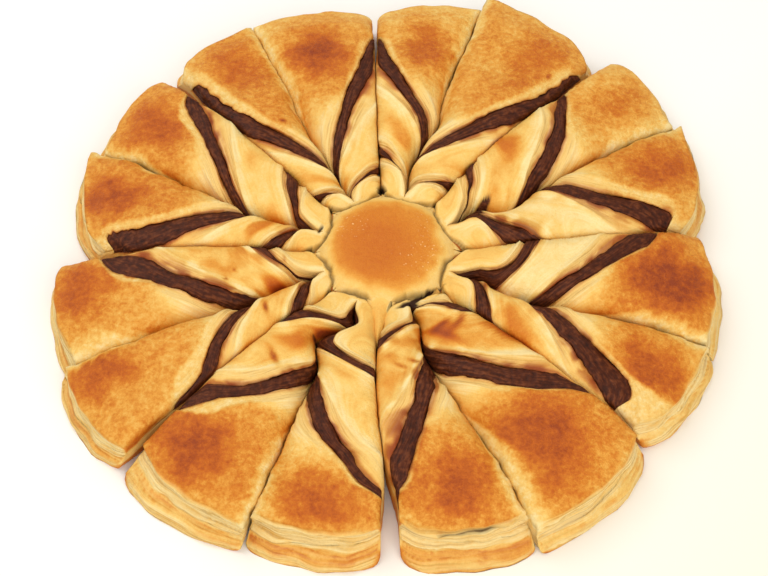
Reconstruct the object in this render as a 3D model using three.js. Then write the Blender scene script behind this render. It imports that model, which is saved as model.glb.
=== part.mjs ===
// Puff pastry star. Two round sheets of puff pastry with chocolate spread between them are cut from
// the rim in to a round hub, which leaves sixteen arms. Neighbouring arms are turned one full turn in
// opposite senses and pressed together in pairs at the rim, so the filling shows as dark stripes.
// Millimetres, +Z up, origin on the underside at the middle of the hub, the viewer on the -Y side.
import * as THREE from "three";
import { mergeVertices } from "three/addons/utils/BufferGeometryUtils.js";

const { clamp, degToRad, lerp, smoothstep } = THREE.MathUtils;

// Plan sizes
const HUB_RADIUS = 29; // the cuts end here
const RIM_RADIUS = 147; // an average fan
const FAN_START = 105; // from here outwards an arm spreads to its own rim
const RIM_BULGE = 1.5; // how far a fan's rim bows out between its corners
const GAP_CORNER = 4; // how far the corner beside an open cut is rounded off
const TOP_SETBACK = 3.5; // the upper sheet's rim lies behind the lower one's
const SETBACK_STEP = [-0.15, 0.15]; // heights, as shares of half the arm's, where it steps back
const TOP_ROUNDING = 4; // and its edge rolls back this much further
const RIM_UNDERCUT = 1.2; // the lower sheet's rim draws in where it meets the tray

// Cuts between the arms, counter-clockwise from the right, in degrees. Even cuts are open at the rim,
// odd ones are the seams where two arms are pressed together.
const CUTS_AT_RIM = [
  3.5, 27.5, 46.5, 72, 92.5, 116.5, 136, 157.5, 182, 204, 223.5, 247, 270.5, 293.5, 318.5, 340,
];
const CUTS_AT_HUB = [
  1, 25.5, 49.5, 74.5, 94, 119.5, 138.5, 161.5, 181, 203, 221.5, 244.5, 265, 289, 317.5, 337,
];
const CUT_BENDS = [40, 130]; // between these radii a cut swings from its hub angle to its rim angle
const CUT_GAP = 0.4; // clearance of an arm to its cut
const CUT_GAP_START = 34; // where that clearance is reached
const OPENINGS = [4, 5, 5, 7, 8, 4, 8, 3]; // width at the rim of each even cut
const OPENING_START = 98;

// Rim radius of each arm at its open cut and at its seam
const RIM_AT_GAP = [138, 158, 148, 142, 141, 145, 148, 132, 147, 152, 153, 145, 145, 146, 143, 143];
const RIM_AT_SEAM = [156, 152, 160, 152, 147, 150, 143, 149, 146, 150, 148, 147, 150, 151, 148, 147];

// How each arm turns: its twist in degrees at the rim and at two radii further in, then the radius
// where it has turned by a quarter, a half and three quarters. At the hub it has turned once round.
const RIM_TWIST = [30, 8, 22, 12, 12, 25, 12, 36, 12, 8, 8, 10, 8, 8, 22, 8];
const OUTER_RADIUS = 122;
const OUTER_TWIST = [48, 30, 28, 36, 34, 30, 44, 42, 44, 32, 34, 48, 38, 32, 52, 36];
const MIDDLE_RADIUS = 104;
const MIDDLE_TWIST = [68, 66, 34, 46, 43, 34, 62, 48, 64, 36, 50, 76, 54, 46, 68, 54];
const QUARTER_TURN = [92, 97, 67, 81, 69, 65, 89, 75, 93, 80, 91, 100, 83, 81, 89, 88];
const HALF_TURN = [69, 65, 50, 58, 50, 48, 66, 60, 64, 60, 57, 75, 54, 52, 66, 68];
const THREE_QUARTER_TURN = [50, 47, 38, 41, 38, 37, 46, 39, 46, 40, 46, 57, 44, 35, 47, 56];

// Height of the upper surface by radius, and each fan's own share of it
const TOP_HEIGHTS = [
  [HUB_RADIUS, 12.5],
  [34, 15],
  [45, 19],
  [62, 22.5],
  [82, 24],
  [98, 23],
  [115, 20.5],
  [134, 19],
  [RIM_RADIUS, 15.5],
];
const PUFF_BLEND = [95, 115]; // between these radii an arm goes over to its fan's own height
const FAN_PUFF = [1, 0.96, 1, 0.97, 1.06, 0.92, 0.98, 0.95, 1, 0.97, 1.07, 1.02, 1, 1.08, 0.97, 1.05];
const FLAT_REST = 0.9; // this much of the rounded underside is pressed flat on the tray

// Section of an arm: a rounded box seen end on. Going round it, the sheets' faces take the top and the
// bottom, and the cut edges take what lies within the corner angle of either side, in degrees.
const CORNER_ANGLES = [
  [HUB_RADIUS, 45],
  [38, 36],
  [90, 34],
  [115, 32],
];
// How square the box is, from 2 for an ellipse upwards, above and below its middle
const TOP_SQUARENESS = [
  [HUB_RADIUS, 3],
  [38, 2.4],
  [92, 2.5],
  [125, 4],
];
const LOW_SQUARENESS = 6;
const HUB_BLEND = 37; // inside this radius the box grows sharp corners, to meet its neighbours

// Chocolate spread: how far out it reaches in each arm, its half thickness, and its clearances
const FILLING_REACH = [139, 114, 139, 120, 118, 134, 122, 137, 120, 115, 110, 124, 126, 108, 131, 118];
const FILLING_HALF_INSIDE = [
  2.6, 2.5, 2.7, 2.1, 2.2, 2.2, 2.2, 2.9, 3.4, 2.1, 2.6, 3.4, 2.8, 3.6, 3, 2.6,
];
const FILLING_HALF_OUTSIDE = [
  2.6, 2.5, 2.7, 2.1, 2.2, 2.2, 2.2, 2.9, 3.4, 2.1, 2.6, 2.2, 2.8, 1.6, 3.4, 2.6,
];
const FILLING_AT_HUB = 1.6; // half thickness under the hub
const FILLING_SWELL = [HUB_RADIUS, 70]; // between these radii it thickens from the hub outwards
const FILLING_TAPER = [75, 110]; // and between these it goes over to its thickness further out
const FILLING_RECESS = 0.97; // its edge lies just behind the cut edges
const SHEET_GAP = 0.66;

// The hub's dome: share of the hub radius and height of each ring
const HUB_RINGS = [
  [0.95, 15.4],
  [0.84, 18],
  [0.5, 19.6],
];
const HUB_HEIGHT = 20;

// Fineness of the surfaces
const FACE_STEPS = 4; // across a sheet's face
const TURN_STEPS = 18; // along the turned part of an arm
const TURN_END = 118;
const SAME_POINT = 1e-4; // corners of neighbouring facets this close are one point
const FAN_STATIONS = [124, 130, 136, 141, 144.5, RIM_RADIUS];

// A smooth curve through knots [x, y], x rising, that never overshoots them.
function smoothCurve(knots) {
  const steps = knots.slice(1).map(([x, y], k) => ({
    width: x - knots[k][0],
    slope: (y - knots[k][1]) / (x - knots[k][0]),
  }));
  const tangents = knots.map((_, k) => {
    const before = steps[Math.max(k - 1, 0)].slope;
    const after = steps[Math.min(k, steps.length - 1)].slope;
    return before * after <= 0 ? 0 : (2 * before * after) / (before + after);
  });
  return (x) => {
    const inside = clamp(x, knots[0][0], knots.at(-1)[0]);
    let k = steps.length - 1;
    while (k > 0 && inside < knots[k][0]) k -= 1;
    const t = (inside - knots[k][0]) / steps[k].width;
    const rise = steps[k].slope * steps[k].width;
    const start = tangents[k] * steps[k].width;
    const end = tangents[k + 1] * steps[k].width;
    const bend = 3 * rise - 2 * start - end;
    const twist = start + end - 2 * rise;
    return knots[k][1] + t * (start + t * (bend + t * twist));
  };
}

const topHeight = smoothCurve(TOP_HEIGHTS);
const cornerAngle = smoothCurve(CORNER_ANGLES);
const topSquareness = smoothCurve(TOP_SQUARENESS);

const armCount = CUTS_AT_RIM.length;
const turnRadii = Array.from(
  { length: TURN_STEPS },
  (_, k) => HUB_RADIUS * (TURN_END / HUB_RADIUS) ** (k / (TURN_STEPS - 1)),
);
const stations = [...turnRadii, ...FAN_STATIONS];

// Everything that is measured arm by arm. side is +1 where the open cut is the clockwise one.
const arms = CUTS_AT_RIM.map((_, i) => ({
  index: i,
  side: i % 2 === 0 ? 1 : -1,
  rimAtGap: RIM_AT_GAP[i],
  rimAtSeam: RIM_AT_SEAM[i],
  puff: FAN_PUFF[i],
  fillingInside: FILLING_HALF_INSIDE[i],
  fillingOutside: FILLING_HALF_OUTSIDE[i],
  fillingEnd: stations.findLastIndex((r) => r <= FILLING_REACH[i]),
  twist: smoothCurve([
    [Math.log(HUB_RADIUS), 360],
    [Math.log(THREE_QUARTER_TURN[i]), 270],
    [Math.log(HALF_TURN[i]), 180],
    [Math.log(QUARTER_TURN[i]), 90],
    [Math.log(MIDDLE_RADIUS), MIDDLE_TWIST[i]],
    [Math.log(OUTER_RADIUS), OUTER_TWIST[i]],
    [Math.log(RIM_RADIUS), RIM_TWIST[i]],
  ]),
}));

// Direction in radians of one cut at a radius; the cut after the last is the first, one turn on.
function cutAngle(cut, r) {
  const lap = Math.floor(cut / armCount) * 360;
  const swing = smoothstep(r, ...CUT_BENDS);
  const at = cut % armCount;
  return degToRad(lerp(CUTS_AT_HUB[at], CUTS_AT_RIM[at], swing) + lap);
}

// Half the width of one cut at a radius, as an angle.
function cutClearance(cut, r) {
  const at = cut % armCount;
  const opening = at % 2 === 0 ? OPENINGS[at / 2] / 2 : 0;
  const seam = CUT_GAP * smoothstep(r, HUB_RADIUS, CUT_GAP_START);
  return (seam + opening * smoothstep(r, OPENING_START, RIM_RADIUS)) / r;
}

// The two cuts that bound an arm at a radius, as angles.
function armSides(arm, r) {
  return [
    cutAngle(arm.index, r) + cutClearance(arm.index, r),
    cutAngle(arm.index + 1, r) - cutClearance(arm.index + 1, r),
  ];
}

function armHeight(arm, r) {
  return topHeight(r) * lerp(1, arm.puff, smoothstep(r, ...PUFF_BLEND));
}

// The outline of an arm's section in the direction of an angle, as shares of its half width and half
// height.
function sectionOutline(r, angle) {
  const x = Math.cos(angle);
  const y = Math.sin(angle);
  const power = y < 0 ? LOW_SQUARENESS : topSquareness(r);
  const rounded = (Math.abs(x) ** power + Math.abs(y) ** power) ** (1 / power);
  const square = Math.max(Math.abs(x), Math.abs(y));
  const size = lerp(square, rounded, smoothstep(r, HUB_RADIUS, HUB_BLEND));
  return [x / size, y / size];
}

// Where a fan ends, for a point across (-1 open cut, 1 seam) and up (-1 tray, 1 top) its section.
function rimRadius(arm, across, up) {
  const straight = lerp(arm.rimAtGap, arm.rimAtSeam, (1 + across) / 2);
  const corner = GAP_CORNER * Math.max(0, -across) ** 4;
  const rounding = up > 0 ? TOP_ROUNDING * up ** 3 : RIM_UNDERCUT * up * up;
  const setback = TOP_SETBACK * smoothstep(up, ...SETBACK_STEP);
  return straight + RIM_BULGE * (1 - across * across) - corner - rounding - setback;
}

// The point of an arm at a radius that lies at an angle round its untwisted section, 0 at the seam and
// 180 at the open cut, drawn in towards the middle of the section where depth is under 1.
function armPoint(arm, r, angle, depth = 1) {
  const turned = angle - degToRad(arm.twist(Math.log(r)));
  const [across, up] = sectionOutline(r, turned).map((share) => share * depth);
  const spread = rimRadius(arm, across, up) - RIM_RADIUS;
  const along = r + smoothstep(r, FAN_START, RIM_RADIUS) * spread;
  const around = lerp(...armSides(arm, r), (1 + arm.side * across) / 2);
  const height = armHeight(arm, r) + FLAT_REST;
  const z = Math.max(0, (height * (1 + up)) / 2 - FLAT_REST);
  return new THREE.Vector3(along * Math.cos(around), along * Math.sin(around), z);
}

// Angle round the section of a layer's edge that lies so many millimetres from the middle. The section
// is wider than high, so the measure depends on how far the arm has turned.
function layerAngle(arm, r, millimetres) {
  const [low, high] = armSides(arm, r);
  const halfWidth = ((high - low) * r) / 2;
  const halfHeight = armHeight(arm, r) / 2;
  const turn = degToRad(arm.twist(Math.log(r)));
  return Math.asin(millimetres / Math.hypot(halfWidth * Math.sin(turn), halfHeight * Math.cos(turn)));
}

function fillingHalf(arm, r) {
  const half = lerp(arm.fillingInside, arm.fillingOutside, smoothstep(r, ...FILLING_TAPER));
  return lerp(FILLING_AT_HUB, half, smoothstep(r, ...FILLING_SWELL));
}

// Outline of one sheet in an arm's section, counter-clockwise: its face, then the face on the filling
// back again. Past the end of the filling the two sheets lie on each other.
function sheetLoop(arm, station, face) {
  const r = stations[station];
  const corner = degToRad(cornerAngle(r));
  const filled = station <= arm.fillingEnd;
  const inner = layerAngle(arm, r, filled ? fillingHalf(arm, r) + SHEET_GAP : SHEET_GAP / 2);
  const start = face > 0 ? 0 : Math.PI;
  const angles = [];
  for (let k = 0; k <= FACE_STEPS; k += 1) {
    angles.push(start + lerp(corner, Math.PI - corner, k / FACE_STEPS));
  }
  angles.push(start + Math.PI - inner, start + inner);
  return angles.map((angle) => armPoint(arm, r, angle));
}

// Outline of the ribbon of spread in an arm's section, clockwise, so that its facets run parallel to
// those of the sheets on it.
function fillingLoop(arm, station) {
  const r = stations[station];
  const half = layerAngle(arm, r, fillingHalf(arm, r));
  const recess = lerp(1, FILLING_RECESS, smoothstep(r, HUB_RADIUS, CUT_GAP_START));
  const angles = [Math.PI - half, half, -half, Math.PI + half];
  return angles.map((angle) => armPoint(arm, r, angle, recess));
}

// A skin between the loops of one arm, closed by a cap at its outer end. Each strip is split along the
// diagonal that follows the arm, except those on the filling, which all run from the open cut outwards
// to the seam, so that the layers stay parallel.
function skinArm(triangles, loops, outwards, fillingStrips) {
  const add = (a, b, c) => triangles.push(...(outwards ? [a, b, c] : [a, c, b]));
  const count = loops[0].length;
  for (let k = 0; k + 1 < loops.length; k += 1) {
    for (let n = 0; n < count; n += 1) {
      const next = (n + 1) % count;
      if (fillingStrips.includes(n)) {
        add(loops[k][n], loops[k + 1][next], loops[k][next]);
        add(loops[k][n], loops[k + 1][n], loops[k + 1][next]);
      } else {
        add(loops[k][n], loops[k + 1][n], loops[k][next]);
        add(loops[k][next], loops[k + 1][n], loops[k + 1][next]);
      }
    }
  }
  const cap = loops.at(-1);
  for (let n = 1; n + 1 < count; n += 1) add(cap[0], cap[n + 1], cap[n]);
}

// The points of every arm's first loop from index first to last, in one ring counter-clockwise. They
// run from the open cut to the seam or back, and neighbouring arms share the point on the cut.
function hubRing(armLoops, first, last, towardsSeam) {
  return arms.flatMap((arm) => {
    const points = armLoops[arm.index][0].slice(first, last + 1);
    if (towardsSeam !== arm.side > 0) points.reverse();
    return points.slice(0, -1);
  });
}

// A disc over the hub from its edge ring in through further rings [share of the radius, height].
function skinHub(triangles, edge, rings, centreHeight, upwards) {
  const add = (a, b, c) => triangles.push(...(upwards ? [a, b, c] : [a, c, b]));
  let outer = edge;
  for (const [share, height] of rings) {
    const inner = edge.map((p) => new THREE.Vector3(p.x * share, p.y * share, height));
    outer.forEach((p, n) => {
      const next = (n + 1) % outer.length;
      add(p, outer[next], inner[next]);
      add(p, inner[next], inner[n]);
    });
    outer = inner;
  }
  const centre = new THREE.Vector3(0, 0, centreHeight);
  outer.forEach((p, n) => add(centre, p, outer[(n + 1) % outer.length]));
}

function solid(name, triangles, material) {
  const corners = new THREE.BufferGeometry().setFromPoints(triangles);
  const geometry = mergeVertices(corners, SAME_POINT);
  geometry.computeVertexNormals();
  const mesh = new THREE.Mesh(geometry, material);
  mesh.name = name;
  return mesh;
}

// One sheet of pastry: face is +1 for the upper sheet and -1 for the lower one.
function sheet(name, face, material) {
  const triangles = [];
  const armLoops = arms.map((arm) => stations.map((_, station) => sheetLoop(arm, station, face)));
  const towardsSeam = face > 0 ? [FACE_STEPS + 1] : [];
  arms.forEach((arm) => skinArm(triangles, armLoops[arm.index], arm.side < 0, towardsSeam));
  const outer = hubRing(armLoops, 0, FACE_STEPS, face < 0);
  const inner = hubRing(armLoops, FACE_STEPS + 1, FACE_STEPS + 2, face > 0);
  if (face > 0) skinHub(triangles, outer, HUB_RINGS, HUB_HEIGHT, true);
  else skinHub(triangles, outer, [], 0, false);
  skinHub(triangles, inner, [], inner[0].z, face < 0);
  return solid(name, triangles, material);
}

// The chocolate spread: a ribbon in every arm, joined by a disc under the hub.
function filling(name, material) {
  const triangles = [];
  const armLoops = arms.map((arm) =>
    stations.slice(0, arm.fillingEnd + 1).map((_, station) => fillingLoop(arm, station)),
  );
  arms.forEach((arm) => skinArm(triangles, armLoops[arm.index], arm.side > 0, [0]));
  const upper = hubRing(armLoops, 0, 1, true);
  const lower = hubRing(armLoops, 2, 3, false);
  skinHub(triangles, upper, [], upper[0].z, true);
  skinHub(triangles, lower, [], lower[0].z, false);
  return solid(name, triangles, material);
}

const bakedTop = new THREE.MeshStandardMaterial({ color: 0xd9a350, roughness: 0.6, metalness: 0 });
const bakedBottom = new THREE.MeshStandardMaterial({ color: 0xe8c584, roughness: 0.65, metalness: 0 });
const chocolate = new THREE.MeshStandardMaterial({ color: 0x3a2016, roughness: 0.55, metalness: 0 });

const star = new THREE.Group();
star.add(
  sheet("pastry_bottom", -1, bakedBottom),
  filling("chocolate_filling", chocolate),
  sheet("pastry_top", 1, bakedTop),
);

export default star;
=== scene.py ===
import math
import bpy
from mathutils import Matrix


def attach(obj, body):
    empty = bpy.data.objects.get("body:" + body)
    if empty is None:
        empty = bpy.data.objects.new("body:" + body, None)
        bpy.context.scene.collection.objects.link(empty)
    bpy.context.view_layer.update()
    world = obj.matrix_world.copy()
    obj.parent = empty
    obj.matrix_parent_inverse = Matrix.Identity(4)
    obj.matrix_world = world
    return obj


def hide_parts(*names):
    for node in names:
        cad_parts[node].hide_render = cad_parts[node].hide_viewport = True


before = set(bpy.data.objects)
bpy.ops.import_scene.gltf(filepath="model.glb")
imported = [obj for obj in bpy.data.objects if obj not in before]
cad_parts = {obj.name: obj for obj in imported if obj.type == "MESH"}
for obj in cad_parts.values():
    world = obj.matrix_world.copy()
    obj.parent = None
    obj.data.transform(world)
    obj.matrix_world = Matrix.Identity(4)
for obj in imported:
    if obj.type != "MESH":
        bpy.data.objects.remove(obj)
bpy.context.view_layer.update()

from types import SimpleNamespace

import bmesh
import bpy
import numpy as np
from mathutils import Vector

# The looks of a puff pastry star. Its arms are laid out as in the solids, with sizes of the same names, and
# then get the relief and the browning of the bake. Sizes are in millimetres, angles in degrees, and tones go
# from 0, pale, to 1, dark. A list of 16 values has one for each arm, counter-clockwise from the right.
MM = 0.001

# Plan. Even cuts stand open at the rim, and odd cuts are seams
HUB_RADIUS = 29
RIM_RADIUS = 147
FAN_START = 105
RIM_BULGE = 1.5
GAP_CORNER = 4
CUTS_AT_RIM = [3.5, 27.5, 46.5, 72, 92.5, 116.5, 136, 157.5, 182, 204, 223.5, 247, 270.5, 293.5, 318.5, 340]
CUTS_AT_HUB = [1, 25.5, 49.5, 74.5, 94, 119.5, 138.5, 161.5, 181, 203, 221.5, 244.5, 265, 289, 317.5, 337]
CUT_BENDS = (40, 130)
CUT_GAP = (0.06, 0.08)  # clearance at open cuts and at seams
CUT_GAP_START = 30.5
CUT_WAVE = (0.4, 1.1)  # sideways waviness of open cuts and of seams
CUT_WAVE_START = (45, 75)
OPENINGS = [4, 5, 2.4, 7, 8, 4, 8, 3]  # width of each open cut at the rim
OPENING_START = 98
FUSED_SEAMS = (5, 9)  # baked shut between their fans
FUSED_OVERLAP = 0.12
FUSED_START = (84, 98)
# Sideways bends of the seams, mostly where the spread meets in a V: cut, radius, shift, and radial reach
SEAM_BENDS = [
    (1, 58, -4.5, 13), (1, 42, 4.5, 8), (3, 72, -3, 11), (3, 46, 2, 9), (5, 50, -0.5, 15), (7, 60, 2.8, 14),
    (9, 66, 4, 15), (11, 77, -1, 12), (11, 54, -6.5, 8), (11, 40, 4.5, 7), (13, 57, -2.5, 15), (13, 38, 2, 8),
    (15, 66, -3, 15), (15, 40, 3, 7),
]
RIM_AT_GAP = [138, 158, 148, 142, 141, 145, 148, 132, 147, 152, 153, 145, 145, 146, 143, 143]
RIM_AT_SEAM = [156, 152, 160, 152, 147, 150, 143, 149, 146, 150, 148, 147, 150, 151, 148, 147]

# Turn of each arm: its twist at three radii, then the radii where it has turned a quarter, a half, three
# quarters and by the last twist
RIM_TWIST = [30, 8, 22, 12, 12, 25, 12, 36, 12, 8, 8, 10, 8, 8, 22, 8]
OUTER_RADIUS = 122
OUTER_TWIST = [48, 30, 28, 36, 34, 30, 44, 42, 44, 32, 34, 48, 38, 32, 52, 36]
MIDDLE_RADIUS = 104
MIDDLE_TWIST = [68, 66, 34, 46, 43, 34, 62, 48, 64, 36, 50, 76, 54, 46, 68, 54]
QUARTER_TURN = [92, 97, 67, 81, 69, 65, 89, 75, 93, 80, 91, 100, 83, 81, 89, 88]
HALF_TURN = [69, 63, 47, 58, 46, 44, 64, 56, 62, 58, 65, 70, 56, 54, 61, 68]
THREE_QUARTER_TURN = [46.5, 46, 39, 44, 38, 37, 46, 42, 46, 41, 45, 61, 42, 34, 47, 56]
LAST_TURN = [40.5, 41, 36, 40, 35, 34.5, 41, 38, 40, 35.5, 41, 54.5, 38, 32, 39, 48]
LAST_TWIST = 325

# Height and section
TOP_HEIGHTS = [
    (HUB_RADIUS, 14.4), (34, 16), (45, 18.8), (62, 21.7), (82, 23), (98, 22.4), (115, 20.3), (134, 19),
    (RIM_RADIUS, 15.5),
]
FAN_PUFF = [1, 0.96, 1, 0.97, 1.06, 0.92, 0.98, 0.95, 1, 0.97, 1.07, 1.02, 1, 1.08, 0.97, 1.05]
PUFF_BLEND = (95, 115)
FLAT_REST = 0.9  # flattened off the underside
CORNER_ANGLES = [(HUB_RADIUS, 45), (38, 36), (90, 34), (115, 32)]
TOP_SQUARENESS = [(HUB_RADIUS, 3), (38, 2.3), (88, 2.4), (106, 4), (125, 8)]
# Beside the open cuts
GAP_SQUARENESS = [(HUB_RADIUS, 3), (38, 3.6), (50, 7), (60, 9), (88, 9), (106, 7), (125, 8)]
LOW_SQUARENESS = 6
HUB_BLEND = 37
HUB_DOME = [(0, 19.8), (16, 19.5), (21, 18.8), (24.5, 17.4), (27, 15.4), (29, 13.4), (34, 11.2), (50, 9)]

# Rim: the lower sheet stands out as a ledge, by so much at either end of each rim. The profile gives the
# share of the ledge that the rim stands back, by height from -1 at the underside to 1 at the top
LEDGE_AT_GAP = [5, 5.5, 5.5, 5.5, 5.5, 5.5, 5.5, 6, 4, 5, 13, 9.5, 11.5, 6, 6.5, 6]
LEDGE_AT_SEAM = [5, 5.5, 5.5, 5.5, 5.5, 5.5, 5.5, 4.5, 4, 4, 4.5, 9, 10.5, 5.5, 5, 5]
LEDGE_PROFILE = [
    (-1, 0.15), (-0.9, 0.02), (-0.8, 0), (-0.6, 0.08), (-0.46, 0.12), (-0.41, 0.2), (-0.3, 0.36),
    (-0.05, 0.62), (0.06, 0.68), (0.12, 0.78), (0.2, 0.92), (0.5, 0.98), (0.8, 0.94), (0.9, 0.92), (1, 1.1),
]
LEDGE_TILT = 0.5
LEDGE_DROP = [0, 0, 0, 0, 0, 0, 0, 0, 0, 0, 0.04, 0.1, 0.2, 0.1, 0, 0]
LEDGE_TONE = [0.32, 0.36, 0.36, 0.36, 0.36, 0.36, 0.36, 0.3, 0.36, 0.34, 0.26, 0.4, 0.38, 0.18, 0.2, 0.22]
# Browning of the rim by height, as a share of each ledge's tone
RIM_TONES = [
    (-1, 1), (-0.8, 0.5), (-0.7, 0.35), (-0.48, 0.35), (-0.4, 0.8), (-0.3, 1), (-0.1, 0.9), (0, 0.4),
    (0.08, 0.05), (0.6, 0.05), (0.88, 0.2), (1, 0.5),
]
BASE_TONE = 0.5
RIM_WAVE = 1.3
RIM_WAVE_INSET = 0.6
RIM_CRACKS = [(278, 289, 0.66)]  # from, to, and height

# Chocolate spread: how far out it shows, and its half thickness near the hub and on the inner and outer fan
FILLING_REACH = [139, 117, 142, 126, 126, 138, 128, 142, 126, 119, 122, 132, 142, 113, 134, 121]
FILLING_HALF_HUB = [4.6, 0.6, 0.6, 0.5, 1.1, 0.6, 2.6, 2.4, 0.8, 2.8, 3.8, 5.6, 1.2, 0.8, 4.6, 4.6]
FILLING_HALF_INSIDE = [4.6, 4.2, 3.8, 3.1, 3, 3.2, 3.3, 3.9, 5, 2.9, 4.2, 4.5, 4.4, 6.4, 4.5, 4.5]
FILLING_HALF_OUTSIDE = [4.2, 2.6, 3.8, 2.3, 2.4, 3.8, 2.9, 4.2, 4.6, 2.1, 3.4, 2.1, 2.8, 1.8, 4.6, 3.7]
FILLING_END = [4, 20, 9, 34, 34, 12, 22, 4, 30, 26, 26, 20, 44, 26, 6, 14]  # length that narrows to its end
FILLING_OUTSIDE = 110
FILLING_AT_HUB = 0.7  # share of the half thickness that is left at the hub itself
FILLING_WAVE = 0.15
LAYER_GAP = 0.2
LAYER_GAP_SHUT = -0.06

# Browning of each fan: its tone, and direction, radius, half length, half width and tone of its darkest patch
FAN_TONE = [0.05, -0.12, 0, -0.09, -0.02, 0.05, 0.07, 0.08, 0.02, 0, 0.1, -0.03, 0.07, 0.08, 0.06, 0.12]
BROWN_PATCHES = [
    (20, 130, 17, 12, 0.36), (38, 133, 16, 11, 0.24), (57, 124, 22, 13, 0.22),
    (81, 113, 15, 13, 0.4), (106.5, 112, 17, 14, 0.54), (123.5, 121, 18, 13, 0.28),
    (147, 122, 16, 14, 0.38), (166.5, 126, 18, 11, 0.42), (189.5, 133, 17, 12, 0.38),
    (207.5, 134, 17, 13, 0.42), (231, 124, 15, 18, 0.46), (258, 122, 12, 20, 0.4),
    (284, 116, 15, 14, 0.44), (303, 112, 22, 20, 0.42), (331, 124, 14, 12, 0.46),
    (352, 122, 20, 16, 0.56),
]
PATCH_SHIFT = (0, 3, 0)  # the patches were placed on a plane a little below the crust
PETAL_TONE = [0.2, 1.3, 1.2, 1.1, 1.1, 1, 1, 1.2, 1.6, 1.5, 1.5, 1, 1.6, 2, 1.3, 0.2]
# Pale bands on the fans: beside the spread, past its end as measured from the middle layer, and at the seam
PALE_BAND = [5, 3, 2.4, 1.8, 1.8, 2.8, 4, 3, 2.4, 5, 5, 2.2, 1.2, 1, 1.8, 1.4]
PALE_AT_RIM = [4, 1, 2.5, 0.5, 0.5, 5, 1, 5, 1.5, 1, 1, 1, 1, 0.5, 9, 1]
PALE_AT_SEAM = [3.5, 6, 4, 4, 5, 5, 5, 3, 12, 3.5, 4, 6, 8, 10, 6, 5]
STAIN_REACH = [2.6, 1.2, 1.3, 1.6, 1.6, 1, 1.4, 1.2, 2.6, 1, 1.2, 1.2, 3, 1.3, 1.7, 1.6]

# Marks on the petals: direction, radius, half length, half width, heading from the radius, and strength
MARKS = [
    (232, 75, 5, 1.4, 60, 0.8), (214, 61, 3.2, 1.2, 70, 0.9), (197, 71, 1.2, 1, 0, 0.9),
    (194, 66, 1, 0.9, 0, 0.7), (281, 62, 4, 1.3, 55, 0.8), (275, 63, 4, 1.1, 60, 0.6),
    (307, 50, 7, 1.7, -70, 0.8), (300, 47, 5, 1.5, -75, 0.7), (273.2, 96, 9, 2.4, 6, 0.7),
    (51, 118, 1.6, 1.1, 0, 0.9), (126, 79, 1.4, 1, 40, 0.9), (192, 45, 3, 0.9, 75, 0.8),
    (11.5, 92, 17, 2.4, -30, 0.6),
]
# Spread smeared over the pastry, and openings by the hub painted with dark shade: numbers as for the marks
SMEARS = [(27.5, 47, 5, 2, 18, 1), (24.5, 42.5, 5, 2.3, 4, 1), (239, 55, 3.5, 1.6, 85, 0.9)]
OPEN_SPOTS = [(300, 28.6, 10, 1.2, 90, 1.8), (292, 31.5, 2.2, 1.6, 60, 1.1), (160, 30.5, 3, 1.2, 90, 0.8)]
OPEN_SPOT_DEPTH = 1.1
# Openings where two small petals part beside the hub, painted with dark shade: open cut, half width and
# length
PARTED_CUTS = [(4, 2.1, 5), (8, 1.5, 5), (6, 1, 4), (0, 0.9, 5), (2, 0.8, 4), (10, 1, 4), (14, 0.8, 4)]
PARTED_DEPTH = 3

# Hub: petal tips press into it at the seams, and its skirt flares out between them at the open cuts
FLARE_AT_GAP = [8, 5.5, 5, 6, 6, 5.5, 7, 6]
FLARE_POWER = 2.4
PETAL_TIP = 26.6
TIP_UNEVEN = 0.9
TIP_GROOVE = 0.75
TIP_DEPTH = 2
HUB_GLINTS = [(-16, 11, 7), (14, -9, 8), (20, -4, 6), (19, 12, 6)]  # painted highlights, tiny pale glints: x, y and size
# A flap that runs out of the hub at one open cut, in a bed with a depth and a half width
TONGUE_CUT = 12
TONGUE_REACH = (24, 49)
TONGUE_HALVES = [(24, 7), (27, 6.4), (30, 4.8), (34, 3), (40, 1.9), (49, 0.5)]
TONGUE_HEIGHTS = [(24, 17), (26.5, 16), (29, 15.4), (33, 15.6), (42, 16), (49, 12)]
TONGUE_BED = (3.4, 3)

# Relief of the sheets
LIP_SINK = 2.2
LIP_ROLL = 0.9
LIP_REACH = 1.3
SHUT_ROLL = 0.1
RIDGE_WIDTH = 1.5
RIDGE_HEIGHT = 1.0
HOLLOW_DEPTH = 0.6
CRUST_EDGE = 0.7
SWELL = (0.5, 0.25, 0.24)  # coarse, fine, and blisters on the fans
FIBRES = 0.3
LAYER_RELIEF = 0.3
RELIEF_START = 36
# Valleys: pressed in at the petals' seams, and rounded beside the open cuts and at the fans' seams
VALLEY_DEPTH = 1.8
VALLEY_WIDTH = 1.8
GAP_DEPTH = 1.3
SEAM_DEPTH = 1.7
SEAM_WIDTH = 3
# Painted shade in the creases: width, then strength beside the cuts, low between the petals, and round the
# petal tips. Pairs are for open cuts and for seams
CREASE_WIDTH = 0.55
CREASE_BESIDE = (0.15, 0.45)
CREASE_DEEP = (0.2, 0.4)
CREASE_TIP = 0.62

# Noise fields: size and seed
FIELDS = {
    "swell": (20, 11), "fine": (6, 12), "pale_band": (14, 14), "blisters": (3.2, 15), "wander": (11, 16),
    "opened": (8, 19), "rim": (9, 21), "rim_layers": (np.array([26, 26, 1.5]), 22), "ragged": (2.8, 24),
    "crags": (3.5, 27), "hub": (16, 31), "hub_edge": (4, 34), "spread": (5, 41),
}
# Uneven lines: coarse and fine length, share of the fine part, spacing of the rows, and two seeds
CUT_LINE = (13, 3.6, 0.45, 3.7, (51, 55))
FILLING_LINE = (5.5, 1.9, 0.5, 5.3, (52, 54))

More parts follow.
